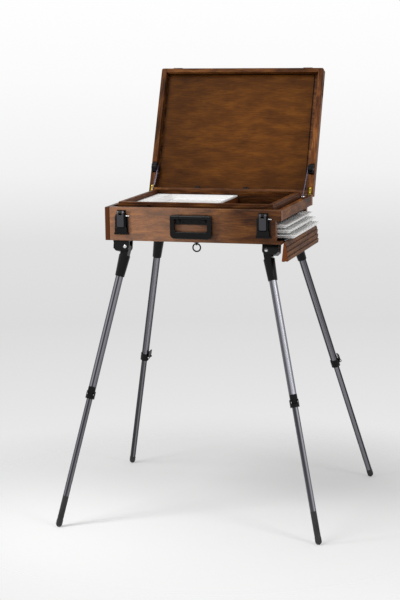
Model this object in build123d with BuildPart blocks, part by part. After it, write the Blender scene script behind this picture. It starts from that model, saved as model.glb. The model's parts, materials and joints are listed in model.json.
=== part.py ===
from build123d import *

import os
from math import atan2, cos, degrees, radians, sin, sqrt

# Pochade box on four telescopic legs, opened for painting. Millimetres.
# +X is the painter's right, +Y points away from the painter, +Z is up.
# The origin is the centre of the case's underside.

os.makedirs("parts", exist_ok=True)

# ---------------------------------------------------------------- driving dimensions

# Case
case_width = 450
case_depth = 350
case_height = 83
end_wall = 16          # front and back walls
side_wall = 12         # left wall and the two right rails
board = 4              # bottom board and compartment floor
arris = 1.5            # rounding along wooden edges
half_width = case_width / 2
half_depth = case_depth / 2
inner_x = half_width - side_wall
inner_y = half_depth - end_wall

# Side opening with its drop flap
opening_top = 57
flap_axis_x = 228      # hinge axis stands clear of the case side
flap_axis_z = 7.2
flap_lean = 6.5        # degrees that the hanging flap leans under the case
flap_length = 48
flap_thickness = 7
flap_step = 2.35
flap_steps = 4
notch_depth = 14.3
flap_set_back = 1.8    # the steps stop short of the free edge to pass under the rail
floor_end = 210.4      # the floor stops short of the closed flap's steps
leaf = 0.8             # thickness of the long hinge's case leaf
flap_leaf = 0.6        # and of its flap leaf
knuckle_radius = 2.2
pin_radius = 1.1
pin_bore = 1.16
flap_hinge_half = 150
flap_knuckles = 12

# Slide-out trays
tray_length = 250
tray_width = 284
tray_height = 8.0
tray_wall = 1.5
tray_rim = 2.2
tray_rims = {"top": 44.0, "middle": 31.5, "bottom": 19.0}
tray_ends = {"top": 233, "middle": 242, "bottom": 253}

# Upper compartments
floor_z = 48
frame_half_x = 200
frame_front = -152
frame_back = 150
frame_rail = 13
frame_lower_top = 88.5
frame_top = 94
frame_set_back = 2
ledge_z = 79
thumb_z = 76.5
ledge = 3
divider_x = 31
divider_thickness = 4

# Lid
lid_axis_y = 176
lid_axis_z = 83.5
lid_lean = 22.8        # degrees past upright
lid_gap = 0.3
lid_thick = 24
lid_start = 1
lid_end = lid_start + case_depth
lid_rail = 14
lid_cross_rail = 12
lid_corner = 5
panel_w = 15.5
panel_thick = 3.4
board_w = 19
board_end_w = 23.6

# Lid hinges
lid_leaf_x = (212.5, 221.5)
case_leaf_y = (161, 173.2)
case_leaf_z = (82.1, 82.9)
hinge_seat_x = (211.9, 222.1)
case_seats = ((160.8, 82), (173, 80.4))    # where each step of the seat begins, and its floor
lid_seats = ((20.4, 1.25), (3.6, 3.4))     # length and depth of each step
lid_leaf_width = 7
lid_leaf_u = (3.2, 20)

# Lid stays
knob_u = 69.5          # knob centre along the lid and behind the rim
knob_w = 2.0
knob_radius = 13.5
knob_lobes = 7
knob_lobe_radius = 4
knob_rim = 2.2
knob_inner_x = 207.3
knob_outer_x = 222.0
stud_radius = 3.0
stud_bore = 3.05
stud_end_x = knob_outer_x + 0.6
knob_recess = 15.0
stay_y = 145
stay_z = 79.5
stay_x = 205.0
stay_thick = 1.8
stay_end = 93
stay_width = 7
stay_slot = (34, 91)
stay_slot_width = 4.4

# Legs: the fold pin and the centre of the round foot, one foot radius above the ground
foot_radius = 8
foot_z = -698
leg_places = {
    "front_left": ((-174.2, -160, -18), (-315.3, -313.4, foot_z)),
    "front_right": ((178.3, -125, -22.5), (341.3, -291.8, foot_z)),
    "back_left": ((-179.5, 128, -15.6), (-327.0, 291.8, foot_z)),
    "back_right": ((178, 160, -17), (355.2, 313.4, foot_z)),
}
lever_headings = {"front_left": -74, "front_right": -74, "back_left": -8, "back_right": 30}
foot_lengths = {"front_left": 72, "front_right": 72, "back_left": 14, "back_right": 14}
upper_tube_radius = 9.5
upper_tube_bore = 8.3
lower_tube_radius = 7.5
lower_tube_bore = 6.3
lower_tube_start = 340     # all distances along a leg are from its fold pin
guide_length = 12
plug_length = 12
collar_end = 389
collar_length = 19
collar_lip = 4
collar_radius = 11.5


# ---------------------------------------------------------------- helpers


def span_box(xs, ys, zs, mode=Mode.ADD):
    """A box between two corners, placed in the part that is open."""
    middle = ((xs[0] + xs[1]) / 2, (ys[0] + ys[1]) / 2, (zs[0] + zs[1]) / 2)
    with Locations(middle):
        Box(xs[1] - xs[0], ys[1] - ys[0], zs[1] - zs[0], mode=mode)


def save(piece, label):
    """Label a finished piece and write it as one STEP file."""
    piece.part.label = label
    export_step(piece.part, f"parts/{label}.step")


def side_span(side, near, far):
    """The X span between two distances from the middle, on the left (-1) or right (+1)."""
    return tuple(sorted((side * near, side * far)))


sides = {"left": -1, "right": 1}

# The lid's own frame: x along the hinge, y up the lid, -z into its thickness.
lean = radians(lid_lean)
lid_plane = Plane(
    origin=(0, lid_axis_y, lid_axis_z), x_dir=(1, 0, 0), z_dir=(0, -cos(lean), sin(lean))
)
lid_up = Axis((0, 0, 0), (0, sin(lean), cos(lean)))
lid_normal = Axis(lid_plane.origin, lid_plane.z_dir)

# The flap's own frame: x from the hinge to the free edge, y from its outer face to its steps.
hang = radians(flap_lean)
flap_plane = Plane(
    origin=(flap_axis_x, 0, flap_axis_z), x_dir=(-sin(hang), 0, -cos(hang)), z_dir=(0, -1, 0)
)
flap_face = flap_axis_x - half_width
rail_top = flap_axis_z - leaf - 0.05


# ---------------------------------------------------------------- case


def end_panel(label, face, inside):
    """The front or back wall, notched at its right end for the flap.

    The left wall's end shows beside the front wall, and the back wall covers it.
    """
    ys = tuple(sorted((face, inside)))
    left_end = -inner_x if face < 0 else -half_width
    with BuildPart() as wall:
        span_box((left_end, half_width), ys, (0, case_height))
        outer = wall.faces().sort_by(Axis.Y)[0 if face < 0 else -1]
        fillet(outer.edges(), arris)
        span_box((half_width - notch_depth, half_width + 1), (ys[0] - 1, ys[1] + 1),
                 (rail_top, opening_top), mode=Mode.SUBTRACT)
        if face > 0:
            for side in sides.values():
                hinge_xs = side_span(side, *hinge_seat_x)
                for seat_y, seat_z in case_seats:
                    span_box(hinge_xs, (seat_y, face + 1), (seat_z, case_height + 1),
                             mode=Mode.SUBTRACT)
    save(wall, label)


end_panel("case_front_wall", -half_depth, -inner_y)
end_panel("case_back_wall", half_depth, inner_y)

knob_y = lid_axis_y - knob_u
knob_pocket_y = (knob_y - knob_recess, knob_y + knob_recess)
knob_pocket_z = (lid_axis_z + knob_w - knob_recess, case_height + 1)


def cut_stay_seat(side):
    """Room for the knob and the hole of the stay's pivot, in a side wall's inner face."""
    span_box(side_span(side, inner_x - 1, knob_outer_x + 0.8), knob_pocket_y, knob_pocket_z,
             mode=Mode.SUBTRACT)
    with Locations(Location((side * (inner_x + 3), stay_y, stay_z), (0, 90, 0))):
        Cylinder(2, 6.2, mode=Mode.SUBTRACT)


with BuildPart() as case_left_wall:
    span_box((-half_width, -inner_x), (-half_depth, inner_y), (0, case_height))
    left_face = case_left_wall.faces().sort_by(Axis.X)[0]
    front_end = case_left_wall.faces().sort_by(Axis.Y)[0]
    front_corner = left_face.edges().filter_by(Axis.Z).sort_by(Axis.Y)[0]
    end_edges = [edge for edge in front_end.edges() if edge.center() != front_corner.center()]
    fillet(left_face.edges().filter_by(Axis.Y) + [front_corner] + end_edges, arris)
    cut_stay_seat(-1)
save(case_left_wall, "case_left_wall")

with BuildPart() as case_right_upper_rail:
    span_box((inner_x, half_width), (-inner_y, inner_y), (opening_top, case_height))
    right_face = case_right_upper_rail.faces().sort_by(Axis.X)[-1]
    fillet(right_face.edges().filter_by(Axis.Y), arris)
    cut_stay_seat(1)
save(case_right_upper_rail, "case_right_upper_rail")

with BuildPart() as case_right_lower_rail:
    span_box((inner_x, half_width), (-inner_y, inner_y), (0, rail_top))
    low_face = case_right_lower_rail.faces().sort_by(Axis.X)[-1]
    fillet(low_face.edges().filter_by(Axis.Y).sort_by(Axis.Z)[0], arris)
save(case_right_lower_rail, "case_right_lower_rail")

with BuildPart() as case_bottom_board:
    span_box((-inner_x, inner_x), (-inner_y, inner_y), (0, board))
save(case_bottom_board, "case_bottom_board")

with BuildPart() as compartment_floor:
    span_box((-inner_x, floor_end), (-inner_y, inner_y), (floor_z, floor_z + board))
save(compartment_floor, "compartment_floor")

runner_inside = tray_width / 2 - 4.7
runner_slot = tray_width / 2 + 0.6

with BuildPart() as tray_runners:
    for end in (-1, 1):
        span_box((-120, 205), side_span(end, runner_inside, inner_y), (board, floor_z))
        for rim in tray_rims.values():
            span_box((-115, 206), side_span(end, runner_inside - 1, runner_slot),
                     (rim - tray_rim - 0.4, rim + 0.6), mode=Mode.SUBTRACT)
save(tray_runners, "tray_runners")


# ---------------------------------------------------------------- trays


def slide_tray(level):
    """A shallow moulded tray with a flat rounded rim that rides in the runners."""
    rim = tray_rims[level]
    middle = tray_ends[level] - tray_length / 2
    with BuildPart() as tray:
        with BuildSketch(Plane.XY.offset(rim - tray_rim)):
            with Locations((middle, 0)):
                RectangleRounded(tray_length, tray_width, 9)
        extrude(amount=tray_rim)
        with BuildSketch(Plane.XY.offset(rim)):
            with Locations((middle, 0)):
                RectangleRounded(tray_length - 11, tray_width - 11, 8)
        extrude(amount=-tray_height, taper=8)
        with BuildSketch(Plane.XY.offset(rim)):
            with Locations((middle, 0)):
                RectangleRounded(tray_length - 14, tray_width - 14, 7)
        extrude(amount=tray_wall - tray_height, taper=8, mode=Mode.SUBTRACT)
        rim_edges = tray.edges().filter_by(GeomType.LINE).group_by(Axis.X)[-1]
        fillet(rim_edges, 0.8)
    save(tray, f"slide_tray_{level}")


for tray_level in tray_rims:
    slide_tray(tray_level)


# ---------------------------------------------------------------- flap and its long hinge

with BuildPart() as flap:
    with BuildSketch(flap_plane):
        with BuildLine():
            Polyline(
                (0.9, flap_face), (flap_length, flap_face),
                (flap_length, flap_face + flap_thickness),
                (8, flap_face + flap_thickness), (0.9, flap_face + 2),
                close=True,
            )
        make_face()
    extrude(amount=half_depth, both=True)
    for step in range(1, flap_steps):
        step_start = step * flap_length / flap_steps
        step_end = flap_length - flap_set_back
        with BuildSketch(flap_plane):
            with Locations(((step_start + step_end) / 2,
                            flap_face + flap_thickness + (step - 0.5) * flap_step)):
                Rectangle(step_end - step_start, flap_step)
        extrude(amount=half_depth, both=True)
    outer_edges = flap.edges().filter_by(Axis.Y).group_by(Axis.Z)[0]
    fillet(outer_edges, 1.0)
save(flap, "flap")

knuckle_pitch = 2 * flap_hinge_half / flap_knuckles


def knuckle_row(first, plane, tab_start, tab_end, tab_level):
    """Every second knuckle of the long hinge with the strip that joins it to its leaf."""
    for index in range(first, flap_knuckles, 2):
        middle = -flap_hinge_half + (index + 0.5) * knuckle_pitch
        with BuildSketch(plane.offset(-middle)) as knuckle:
            Circle(knuckle_radius)
            with Locations(((tab_start + tab_end) / 2, tab_level)):
                Rectangle(tab_end - tab_start, leaf)
            Circle(pin_bore, mode=Mode.SUBTRACT)
        extrude(knuckle.sketch, amount=knuckle_pitch / 2 - 0.25, both=True)


hinge_plane = Plane(origin=(flap_axis_x, 0, flap_axis_z), x_dir=(1, 0, 0), z_dir=(0, -1, 0))
case_leaf_level = -0.05 - leaf / 2

with BuildPart() as flap_hinge_case_leaf:
    span_box((inner_x + 0.2, half_width), (-flap_hinge_half, flap_hinge_half),
             (flap_axis_z - 0.05 - leaf, flap_axis_z - 0.05))
    knuckle_row(0, hinge_plane, -flap_face - 0.2, 0, case_leaf_level)
    with BuildSketch(hinge_plane):
        Circle(pin_bore)
    extrude(amount=flap_hinge_half, both=True, mode=Mode.SUBTRACT)
save(flap_hinge_case_leaf, "flap_hinge_case_leaf")

# The flap leaf lies on the flap's outer face; its sketch frame has x across the flap.
flap_leaf_plane = Plane(
    origin=(flap_axis_x, 0, flap_axis_z), x_dir=(cos(hang), 0, -sin(hang)), z_dir=(0, -1, 0)
)

with BuildPart() as flap_hinge_flap_leaf:
    with BuildSketch(flap_leaf_plane):
        with Locations((flap_face - flap_leaf / 2, -4)):
            Rectangle(flap_leaf, 7.9)
    extrude(amount=flap_hinge_half, both=True)
    knuckle_row(1, flap_leaf_plane, 0, flap_face, case_leaf_level)
    with BuildSketch(flap_leaf_plane):
        Circle(pin_bore)
    extrude(amount=flap_hinge_half, both=True, mode=Mode.SUBTRACT)
save(flap_hinge_flap_leaf, "flap_hinge_flap_leaf")


# ---------------------------------------------------------------- tray frame, divider and pan

frame_inner_x = frame_half_x - frame_rail
frame_inner_y = (frame_front + frame_rail, frame_back - frame_rail)
ledge_inner_x = frame_inner_x - ledge
ledge_inner_y = (frame_inner_y[0] + ledge, frame_inner_y[1] - ledge)
thumb_radius = 10.5

with BuildPart() as tray_frame:
    span_box((-frame_half_x, frame_half_x), (frame_front, frame_back),
             (floor_z + board, frame_lower_top))
    fillet(tray_frame.edges().filter_by(Axis.Z), 4)
    fillet(tray_frame.faces().sort_by(Axis.Z)[-1].edges(), 1)
    with BuildSketch(Plane.XY.offset(frame_lower_top)):
        with Locations((0, (frame_front + frame_back) / 2)):
            RectangleRounded(2 * (frame_half_x - frame_set_back),
                             frame_back - frame_front - 2 * frame_set_back, 4)
    extrude(amount=frame_top - frame_lower_top)
    fillet(tray_frame.faces().sort_by(Axis.Z)[-1].edges(), arris)
    span_box((-frame_inner_x, frame_inner_x), frame_inner_y, (ledge_z, frame_top + 1),
             mode=Mode.SUBTRACT)
    span_box((-ledge_inner_x, ledge_inner_x), ledge_inner_y, (floor_z, frame_top),
             mode=Mode.SUBTRACT)
    with Locations(Location((-116, frame_front, thumb_z), (90, 0, 0))):
        Cylinder(thumb_radius, 8, mode=Mode.SUBTRACT)
    span_box((divider_x, divider_x + divider_thickness), ledge_inner_y,
             (floor_z + board, ledge_z))
save(tray_frame, "tray_frame")

pan_x = (-frame_half_x + frame_rail + 0.5, divider_x + 2)
pan_y = (frame_front + frame_rail + 0.5, frame_back - frame_rail - 0.5)
pan_rim = 83
pan_bottom = 69
well_count = 5
well_length = 34
pan_wall = 2
pan_body_x = (pan_x[0] + ledge + 0.5, divider_x - 1)
pan_body_y = (pan_y[0] + ledge + 0.5, pan_y[1] - ledge - 0.5)
well_span = pan_body_y[1] - pan_body_y[0] - 2 * pan_wall
well_pitch = well_span / well_count

with BuildPart() as palette_pan:
    span_box(pan_x, pan_y, (ledge_z + 0.2, pan_rim))
    fillet(palette_pan.edges().filter_by(Axis.Z), 3)
    fillet(palette_pan.faces().sort_by(Axis.Z)[-1].edges(), 1)
    span_box(pan_body_x, pan_body_y, (pan_bottom, ledge_z + 0.2))
    with BuildSketch(Plane.XY.offset(pan_bottom + pan_wall)):
        for well in range(well_count):
            with Locations((pan_body_x[0] + pan_wall + well_length / 2,
                            pan_body_y[0] + pan_wall + (well + 0.5) * well_pitch)):
                RectangleRounded(well_length, well_pitch - 4, 15)
        mixing_start = pan_body_x[0] + pan_wall + well_length + 5
        mixing_length = pan_body_x[1] - pan_wall - mixing_start
        with Locations((mixing_start + mixing_length / 2, (pan_body_y[0] + pan_body_y[1]) / 2)):
            RectangleRounded(mixing_length, well_span, 12)
    extrude(amount=pan_rim - pan_bottom, mode=Mode.SUBTRACT)
save(palette_pan, "palette_pan")


# ---------------------------------------------------------------- lid


def lid_side_rail(name, side):
    """A long lid rail with a finger recess outside and room for the stay knob inside."""
    with BuildPart(lid_plane) as rail:
        span_box(side_span(side, half_width - lid_rail, half_width), (lid_start, lid_end),
                 (-lid_thick, -lid_gap))
        ends = rail.edges().filter_by(lid_normal).group_by(lid_up)[-1]
        fillet(ends.sort_by(Axis.X)[0 if side < 0 else -1], lid_corner)
        outer = rail.faces().sort_by(Axis.X)[0 if side < 0 else -1]
        fillet(outer.edges(), 2.2)
        recess_plane = Plane(
            origin=lid_plane.from_local_coords((side * half_width, 293, -13)),
            x_dir=lid_up.direction, z_dir=(side, 0, 0),
        )
        with BuildSketch(recess_plane):
            SlotOverall(44, 13)
        extrude(amount=-2.5, mode=Mode.SUBTRACT)
        span_box(side_span(side, half_width - lid_rail - 1, stud_end_x),
                 (knob_u - knob_recess, knob_u + knob_recess), (-knob_w - knob_recess, 1),
                 mode=Mode.SUBTRACT)
        hinge_xs = side_span(side, *hinge_seat_x)
        for seat_length, seat_depth in lid_seats:
            span_box(hinge_xs, (0, seat_length), (-seat_depth, 0), mode=Mode.SUBTRACT)
    save(rail, f"lid_side_rail_{name}")


for side_name, side_sign in sides.items():
    lid_side_rail(side_name, side_sign)

lid_inner_x = half_width - lid_rail

with BuildPart(lid_plane) as lid_hinge_rail:
    span_box((-lid_inner_x, lid_inner_x), (lid_start, lid_start + lid_cross_rail),
             (-lid_thick, -lid_gap))
    fillet(lid_hinge_rail.edges().filter_by(Axis.X).sort_by(Axis.Z)[0], arris)
save(lid_hinge_rail, "lid_hinge_rail")

with BuildPart(lid_plane) as lid_front_rail:
    span_box((-lid_inner_x, lid_inner_x), (lid_end - lid_cross_rail, lid_end),
             (-lid_thick, -lid_gap))
    fillet(lid_front_rail.edges().filter_by(Axis.X).group_by(lid_up)[-1], 2.2)
save(lid_front_rail, "lid_front_rail")

lid_inner_y = (lid_start + lid_cross_rail, lid_end - lid_cross_rail)

with BuildPart(lid_plane) as lid_back_board:
    span_box((-lid_inner_x, lid_inner_x), lid_inner_y, (-board_end_w, -board_w))
save(lid_back_board, "lid_back_board")

with BuildPart(lid_plane) as lid_panel:
    span_box((-204, 198), (lid_inner_y[0] + 1.5, lid_inner_y[1] - 2),
             (-panel_w - panel_thick, -panel_w))
    fillet(lid_panel.edges().filter_by(Axis.X), 0.5)
save(lid_panel, "lid_panel")

clip_xs = ((-99, -87), (34, 46))
latch_centre = 181

with BuildPart(lid_plane) as lid_clips_and_keepers:
    for clip_x in clip_xs:
        span_box(clip_x, (lid_inner_y[0], lid_inner_y[0] + 7), (-panel_w + 0.2, -8))
    for side in sides.values():
        keeper_x = (side * latch_centre - 12, side * latch_centre + 12)
        span_box(keeper_x, (lid_end, lid_end + 1.6), (-18, -3))
        span_box(keeper_x, (lid_end + 1.6, lid_end + 4), (-12, -9.5))
save(lid_clips_and_keepers, "lid_clips_and_keepers")


# ---------------------------------------------------------------- lid hinges

lid_leaf_middle = sum(lid_leaf_x) / 2
lid_knuckles = ((212.5, 215.3), (215.6, 218.4), (218.7, 221.5))


def lid_knuckle(side, span, plane):
    """One drilled knuckle round the lid's hinge axis."""
    near, far = side_span(side, *span)
    with BuildSketch(plane.offset(near)) as knuckle:
        Circle(knuckle_radius)
        Circle(pin_bore, mode=Mode.SUBTRACT)
    extrude(knuckle.sketch, amount=far - near)


lid_axis_plane = Plane(origin=(0, lid_axis_y, lid_axis_z), x_dir=(0, 1, 0), z_dir=(1, 0, 0))

with BuildPart() as lid_hinge_case_leaves:
    for side in sides.values():
        span_box(side_span(side, *lid_leaf_x), case_leaf_y, case_leaf_z)
        for knuckle in (lid_knuckles[0], lid_knuckles[2]):
            span_box(side_span(side, *knuckle), (case_leaf_y[0], lid_axis_y - 1.4), case_leaf_z)
            lid_knuckle(side, knuckle, lid_axis_plane)
save(lid_hinge_case_leaves, "lid_hinge_case_leaves")

with BuildPart() as lid_hinge_lid_leaves:
    for side in sides.values():
        with BuildSketch(lid_plane.offset(-1.15)):
            with Locations((side * lid_leaf_middle, sum(lid_leaf_u) / 2)):
                Rectangle(lid_leaf_width, lid_leaf_u[1] - lid_leaf_u[0])
            with Locations((side * lid_leaf_middle, 2.4)):
                Rectangle(2.8, 2.4)
        extrude(amount=leaf)
        lid_knuckle(side, lid_knuckles[1], lid_axis_plane)
        with BuildSketch(lid_plane.offset(-leaf + 0.9)):
            with Locations((side * (lid_leaf_middle - 0.4), 6.5),
                           (side * (lid_leaf_middle + 0.4), 16.5)):
                Circle(2.2)
        extrude(amount=-1.0, taper=20)
save(lid_hinge_lid_leaves, "lid_hinge_lid_leaves")

with BuildPart() as hinge_pins:
    with BuildSketch(hinge_plane):
        Circle(pin_radius)
    extrude(amount=flap_hinge_half, both=True)
    for side in sides.values():
        with BuildSketch(lid_axis_plane.offset(side * lid_leaf_middle)):
            Circle(pin_radius)
        extrude(amount=4.5, both=True)
save(hinge_pins, "hinge_pins")


# ---------------------------------------------------------------- lid stays

knob_centre = lid_plane.from_local_coords((0, knob_u, -knob_w))


def knob_plane(side, x):
    """A plane across the knob's axis, facing outward at a distance from the middle."""
    return Plane(origin=(side * x, knob_centre.Y, knob_centre.Z), x_dir=(0, 1, 0),
                 z_dir=(side, 0, 0))


with BuildPart() as stay_studs:
    for side in sides.values():
        with BuildSketch(knob_plane(side, knob_inner_x - 0.3)):
            Circle(stud_radius)
        extrude(amount=stud_end_x - knob_inner_x + 0.3)
save(stay_studs, "stay_studs")


def stay_knob(name, side):
    """A lobed clamp knob that turns on the stud."""
    with BuildPart() as knob:
        with BuildSketch(knob_plane(side, knob_inner_x)):
            Circle(knob_radius)
            with PolarLocations(knob_radius + 2.6, knob_lobes):
                Circle(knob_lobe_radius, mode=Mode.SUBTRACT)
        extrude(amount=knob_outer_x - knob_inner_x)
        for rim in (knob.faces().sort_by(Axis.X)[0], knob.faces().sort_by(Axis.X)[-1]):
            fillet(rim.edges(), knob_rim)
        with BuildSketch(knob_plane(side, knob_inner_x)):
            Circle(stud_bore)
        extrude(amount=knob_outer_x - knob_inner_x, mode=Mode.SUBTRACT)
    save(knob, f"stay_knob_{name}")


stay_rise = atan2(knob_centre.Z - stay_z, knob_centre.Y - stay_y)
stay_dir = (0, cos(stay_rise), sin(stay_rise))


def stay_arm(name, side):
    """A slotted steel arm between the case pivot and the knob."""
    near = side_span(side, stay_x, stay_x + stay_thick)[0]
    with BuildPart() as arm:
        with BuildSketch(Plane(origin=(near, stay_y, stay_z), x_dir=stay_dir, z_dir=(1, 0, 0))):
            with Locations((stay_end / 2, 0)):
                SlotCenterToCenter(stay_end, stay_width)
            with Locations(((stay_slot[0] + stay_slot[1]) / 2, 0)):
                SlotCenterToCenter(stay_slot[1] - stay_slot[0], stay_slot_width, mode=Mode.SUBTRACT)
            Circle(2.05, mode=Mode.SUBTRACT)
        extrude(amount=stay_thick)
    save(arm, f"stay_arm_{name}")


for side_name, side_sign in sides.items():
    stay_knob(side_name, side_sign)
    stay_arm(side_name, side_sign)


def stay_pivot_plane(side, x):
    return Plane(origin=(side * x, stay_y, stay_z), x_dir=(0, 1, 0), z_dir=(side, 0, 0))


# ---------------------------------------------------------------- latches

latch_pin_y = -half_depth - 6.5
latch_pin_z = 70
latch_face = -half_depth
latch_plate = 1.6
lug_half = 4
lug_radius = 4.2
lever_half = 9
lever_bottom = 35
cheek_near = 9.6
cheek_far = 12.6
side_pin_y = -half_depth - 5.4
side_pin_z = 62
side_pin_radius = 1.2

with BuildPart() as latch_bases:
    for side in sides.values():
        centre = side * latch_centre
        span_box((centre - 17, centre + 17), (latch_face - latch_plate, latch_face), (19, 62))
        span_box((centre - 11.4, centre + 11.4), (latch_face - latch_plate, latch_face), (62, 76))
        span_box((centre - 19, centre + 19), (latch_face - 3.5, latch_face), (15.5, 20))
        span_box((centre - 15.5, centre + 15.5), (latch_face - 9, latch_face - latch_plate),
                 (21, 33))
        for cheek in (-1, 1):
            span_box(side_span(1, centre + cheek * cheek_near, centre + cheek * cheek_far),
                     (latch_face - 8, latch_face - latch_plate), (33, 66))
        span_box((centre - lug_half, centre + lug_half), (latch_pin_y, latch_face - latch_plate),
                 (66.5, 73.5))
        with Locations(Location((centre, latch_pin_y, latch_pin_z), (0, 90, 0))):
            Cylinder(lug_radius, 2 * lug_half)
            Cylinder(1.55, 2 * lug_half, mode=Mode.SUBTRACT)
        with Locations(Location((centre + cheek_near + 1.5, side_pin_y, side_pin_z), (0, 90, 0))):
            Cylinder(side_pin_radius + 0.02, 6, mode=Mode.SUBTRACT)
    fillet(latch_bases.edges().filter_by(Axis.X).group_by(Axis.Y)[0], 0.8)
save(latch_bases, "latch_bases")


def latch_lever(name, side):
    """The lever that swings out from the latch on its cross pin, with two eyes at its top."""
    centre = side * latch_centre
    with BuildPart() as lever:
        span_box((centre - lever_half, centre + lever_half),
                 (latch_face - 11.5, latch_face - 8.5), (lever_bottom, latch_pin_z))
        fillet(lever.edges().filter_by(Axis.Y).group_by(Axis.Z)[0], 3)
        fillet(lever.faces().sort_by(Axis.Y)[0].edges(), 0.8)
        with Locations(Location((centre, latch_pin_y, latch_pin_z), (0, 90, 0))):
            Cylinder(4.4, 2 * lever_half)
        span_box((centre - lug_half - 0.3, centre + lug_half + 0.3),
                 (latch_face - 12, latch_face), (latch_pin_z - 5.5, latch_pin_z + 5),
                 mode=Mode.SUBTRACT)
        with Locations(Location((centre, latch_pin_y, latch_pin_z), (0, 90, 0))):
            Cylinder(1.6, 2 * lever_half, mode=Mode.SUBTRACT)
    save(lever, f"latch_lever_{name}")


for side_name, side_sign in sides.items():
    latch_lever(side_name, side_sign)


# ---------------------------------------------------------------- handle

handle_y = -half_depth - 8
handle_z = 62
bail_half = 53
bail_inner = 41.5
bail_low = 9.3
bail_grip = 17.4
bail_thick = 8.8
bar_radius = 5.4
bar_bore = 5.5
lug_outer = 6.6
lug_x = 33
plate_half = 41
plate_z = (44, 56)
plate_thick = 2.2

with BuildPart() as handle_plate:
    span_box((-plate_half, plate_half), (-half_depth - plate_thick, -half_depth), plate_z)
    fillet(handle_plate.edges().filter_by(Axis.Y), 3)
    for lug in (-1, 1):
        with Locations(Location((lug * lug_x, handle_y, handle_z), (0, 90, 0))):
            Cylinder(lug_outer, 8)
        span_box((lug * lug_x - 4, lug * lug_x + 4), (handle_y, -half_depth), (49, handle_z))
    with Locations(Location((0, handle_y, handle_z), (0, 90, 0))):
        Cylinder(bar_bore, case_width, mode=Mode.SUBTRACT)
save(handle_plate, "handle_plate")

with BuildPart() as handle_bail:
    with BuildSketch(Plane.XZ.offset(-handle_y)):
        with Locations((0, (bail_low + handle_z + 20) / 2)):
            RectangleRounded(2 * bail_half, handle_z + 20 - bail_low, 12)
        with Locations((0, bail_low + bail_grip + 30)):
            RectangleRounded(2 * bail_inner, 60, 6, mode=Mode.SUBTRACT)
    extrude(amount=bail_thick / 2, both=True)
    span_box((-case_width, case_width), (handle_y - 10, handle_y + 10),
             (handle_z, handle_z + 40), mode=Mode.SUBTRACT)
    grip_rims = handle_bail.faces().filter_by(Axis.Y)
    for grip_rim in grip_rims:
        fillet([edge for edge in grip_rim.edges() if edge.center().Z < handle_z - 1], 2.4)
with BuildPart() as handle:
    with Locations(Location((0, handle_y, handle_z), (0, 90, 0))):
        Cylinder(bar_radius, 2 * bail_half)
    fillet(handle.edges().filter_by(GeomType.CIRCLE), 4)
    add(handle_bail.part)
save(handle, "handle_bail")


# ---------------------------------------------------------------- hanging ring

ring_x = 9
ring_y = -165
eye_radius = 4.3
eye_bore = 2.5
eye_length = 2.6
eye_base_radius = 6.5
eye_base = 1.5
ring_radius = 9.6
ring_wire = 1.8
ring_axis_z = -4.2

with BuildPart() as ring_eye:
    with Locations((ring_x, ring_y, -eye_base / 2)):
        Cylinder(eye_base_radius, eye_base)
    with Locations(Location((ring_x, ring_y, ring_axis_z), (0, 90, 0))):
        Cylinder(eye_radius, eye_length)
        Cylinder(eye_bore, 4 * eye_base_radius, mode=Mode.SUBTRACT)
    with Locations((ring_x, ring_y, 2.5)):
        Box(20, 20, 5, mode=Mode.SUBTRACT)
save(ring_eye, "ring_eye")

with BuildPart() as ring:
    with Locations(Location((ring_x, ring_y, ring_axis_z - ring_radius), (90, 0, 0))):
        Torus(ring_radius, ring_wire)
save(ring, "ring")


# ---------------------------------------------------------------- legs


def leg_frame(name):
    """The leg's frame: origin on the fold pin, z from the foot to the pin, x along the pin."""
    pin, foot = (Vector(*point) for point in leg_places[name])
    up = (pin - foot).normalized()
    axis = Vector(0, up.Z, -up.Y).normalized()
    frame = Plane(origin=pin, x_dir=axis, z_dir=up)
    return frame, axis, (pin - foot).length


brackets = {name: leg_frame(name) for name in leg_places}
cheek_in = 11.2
cheek_out = 15.0
boss = 10.6
nose = 30
web_gap = 10.4
base_thick = 3
fold_pin_radius = 4
fold_pin_bore = 4.05


def bracket_shape(name):
    """A clevis under the case, with a solid nose outside that stops the leg."""
    frame, axis, length = brackets[name]
    side = -1 if "left" in name else 1
    face = Plane(origin=frame.origin, x_dir=(1, 0, 0), z_dir=axis * -1)
    splay = atan2(side * -frame.z_dir.X, sqrt(1 - frame.z_dir.X ** 2))
    outline = [(-boss, 0), (-boss, 24), (nose, 24), (nose, -4), (nose - 7, -11), (2, -boss)]
    web = [
        (web_gap * cos(splay) - 30 * sin(splay), web_gap * sin(splay) + 30 * cos(splay)),
        (web_gap * cos(splay) + 8 * sin(splay), web_gap * sin(splay) - 8 * cos(splay)),
        (nose - 7, -11), (nose, -4), (nose, 24),
    ]
    with BuildPart() as bracket:
        with BuildSketch(face):
            Circle(boss)
            with BuildLine():
                Polyline(*[(side * x, y) for x, y in outline], close=True)
            make_face()
        extrude(amount=cheek_out, both=True)
        with BuildSketch(face):
            Rectangle(4 * boss, 8 * boss)
        extrude(amount=cheek_in, both=True, mode=Mode.SUBTRACT)
        with BuildSketch(face):
            with BuildLine():
                Polyline(*[(side * x, y) for x, y in web], close=True)
            make_face()
        extrude(amount=cheek_out, both=True)
        pin_x, pin_y, pin_z = leg_places[name][0]
        span_box(side_span(1, pin_x - side * boss, pin_x + side * nose),
                 (pin_y - cheek_out, pin_y + cheek_out), (-base_thick, 0))
        span_box((pin_x - 60, pin_x + 60), (pin_y - 60, pin_y + 60), (0, 40), mode=Mode.SUBTRACT)
        with BuildSketch(face):
            Circle(fold_pin_bore)
        extrude(amount=2 * cheek_out, both=True, mode=Mode.SUBTRACT)
    return bracket.part


leg_bracket_solids = [bracket_shape(name) for name in leg_places]

with BuildPart() as leg_brackets:
    for bracket_solid in leg_bracket_solids:
        add(bracket_solid)
save(leg_brackets, "leg_brackets")

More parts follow.
